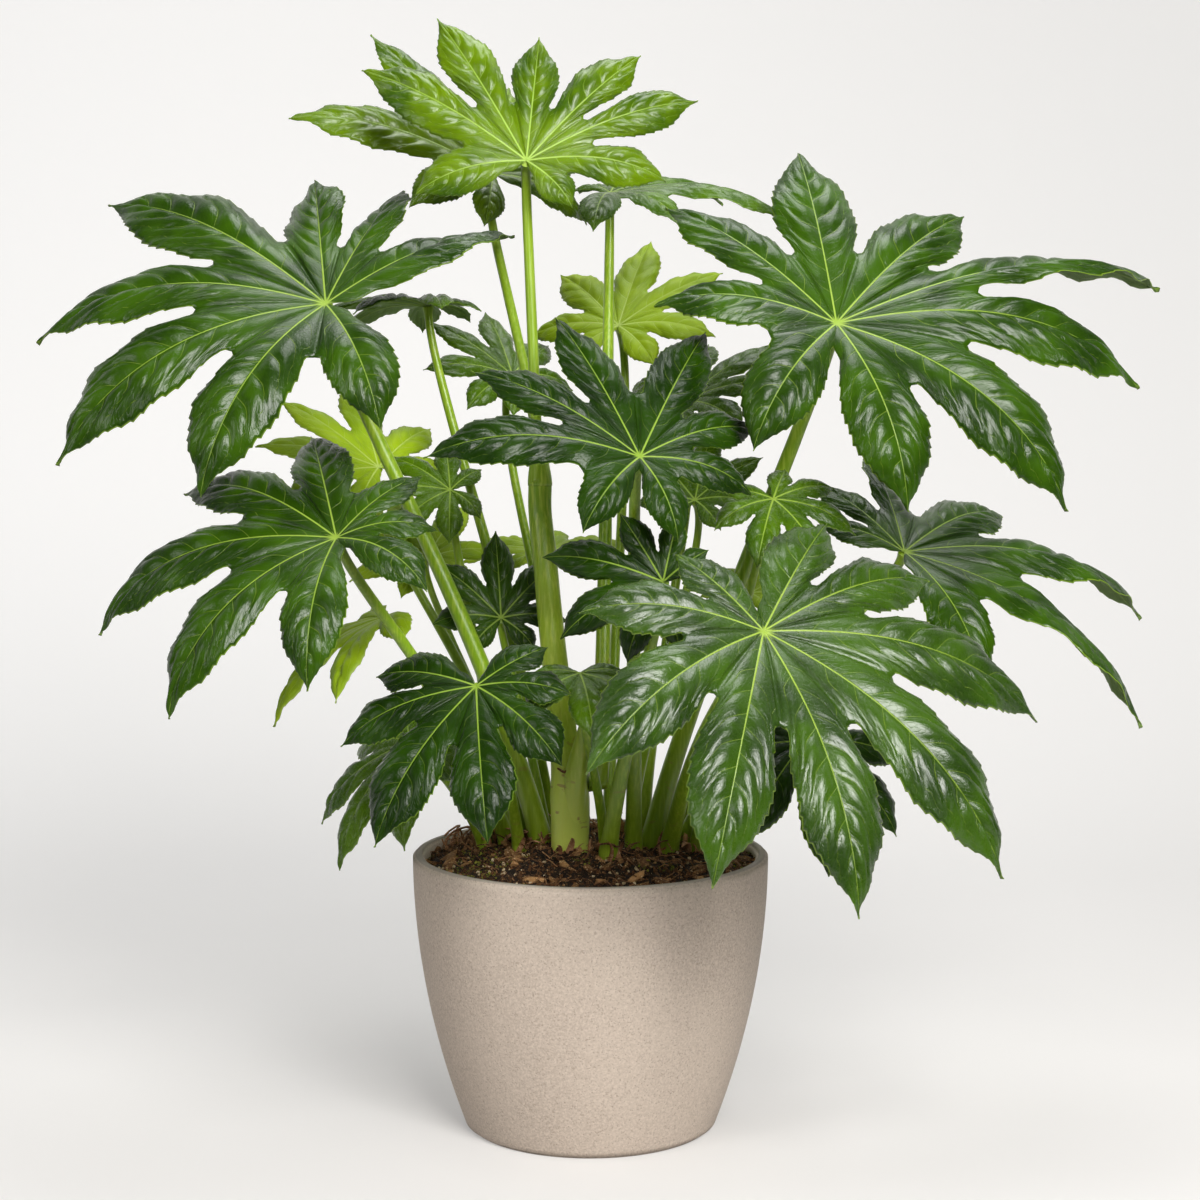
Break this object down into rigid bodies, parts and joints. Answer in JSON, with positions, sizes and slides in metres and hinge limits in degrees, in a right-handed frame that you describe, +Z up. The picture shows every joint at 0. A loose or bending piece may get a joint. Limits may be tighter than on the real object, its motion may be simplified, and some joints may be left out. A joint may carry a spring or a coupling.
{
  "type": "potted fatsia",
  "caption": "Leafy house plant with long-stalked palmate leaves on a green cane, rooted in soil in a round tapered planter",
  "frame": {"origin": "middle of the pot's flat underside", "axes": "+Z up out of the pot, +X to the right of the side that the biggest leaves face, +Y to the back"},
  "size_m": [0.9509, 0.6599, 0.9361],
  "materials": {
    "stoneware": "matte, fine grained",
    "potting_mix": "rough, damp",
    "stalk_green": "satin",
    "leaf_deep": "waxy, half gloss",
    "leaf_mid": "waxy, half gloss",
    "leaf_young": "waxy, half gloss",
    "leaf_pale": "satin"
  },
  "bodies": {
    "root": {"pot": "stoneware", "soil": "potting_mix", "cane": "stalk_green", "leaf_upper_left": "leaf_deep", "stalk_upper_left": "stalk_green", "leaf_crown_front": "leaf_young", "stalk_crown_front": "stalk_green", "leaf_crown_rear": "leaf_young", "stalk_crown_rear": "stalk_green", "leaf_upper_right": "leaf_deep", "stalk_upper_right": "stalk_green", "leaf_centre": "leaf_deep", "stalk_centre": "stalk_green", "leaf_mid_left": "leaf_deep", "stalk_mid_left": "stalk_green", "leaf_low_left": "leaf_deep", "stalk_low_left": "stalk_green", "leaf_front_right": "leaf_deep", "stalk_front_right": "stalk_green", "leaf_mid_right": "leaf_deep", "stalk_mid_right": "stalk_green", "leaf_crown_right": "leaf_mid", "stalk_crown_right": "stalk_green", "leaf_rear_left": "leaf_pale", "stalk_rear_left": "stalk_green", "leaf_inner_right": "leaf_mid", "stalk_inner_right": "stalk_green", "leaf_inner_centre": "leaf_mid", "stalk_inner_centre": "stalk_green", "leaf_inner_left": "leaf_mid", "stalk_inner_left": "stalk_green", "leaf_inner_front": "leaf_deep", "stalk_inner_front": "stalk_green", "leaf_low_rear_left": "leaf_pale", "stalk_low_rear_left": "stalk_green", "leaf_low_left_under": "leaf_mid", "stalk_low_left_under": "stalk_green", "leaf_low_right_under": "leaf_deep", "stalk_low_right_under": "stalk_green", "leaf_rear_upper_left": "leaf_mid", "stalk_rear_upper_left": "stalk_green", "leaf_rear_centre": "leaf_mid", "stalk_rear_centre": "stalk_green", "leaf_rear_top": "leaf_young", "stalk_rear_top": "stalk_green", "leaf_crinkled": "leaf_mid", "stalk_crinkled": "stalk_green", "leaf_rear_right": "leaf_mid", "stalk_rear_right": "stalk_green", "leaf_rear_low_centre": "leaf_deep", "stalk_rear_low_centre": "stalk_green", "leaf_rear_pale": "leaf_pale", "stalk_rear_pale": "stalk_green", "leaf_inner_rear_left": "leaf_pale", "stalk_inner_rear_left": "stalk_green", "leaf_low_right_rear": "leaf_young", "stalk_low_right_rear": "stalk_green"}
  },
  "joints": []
}
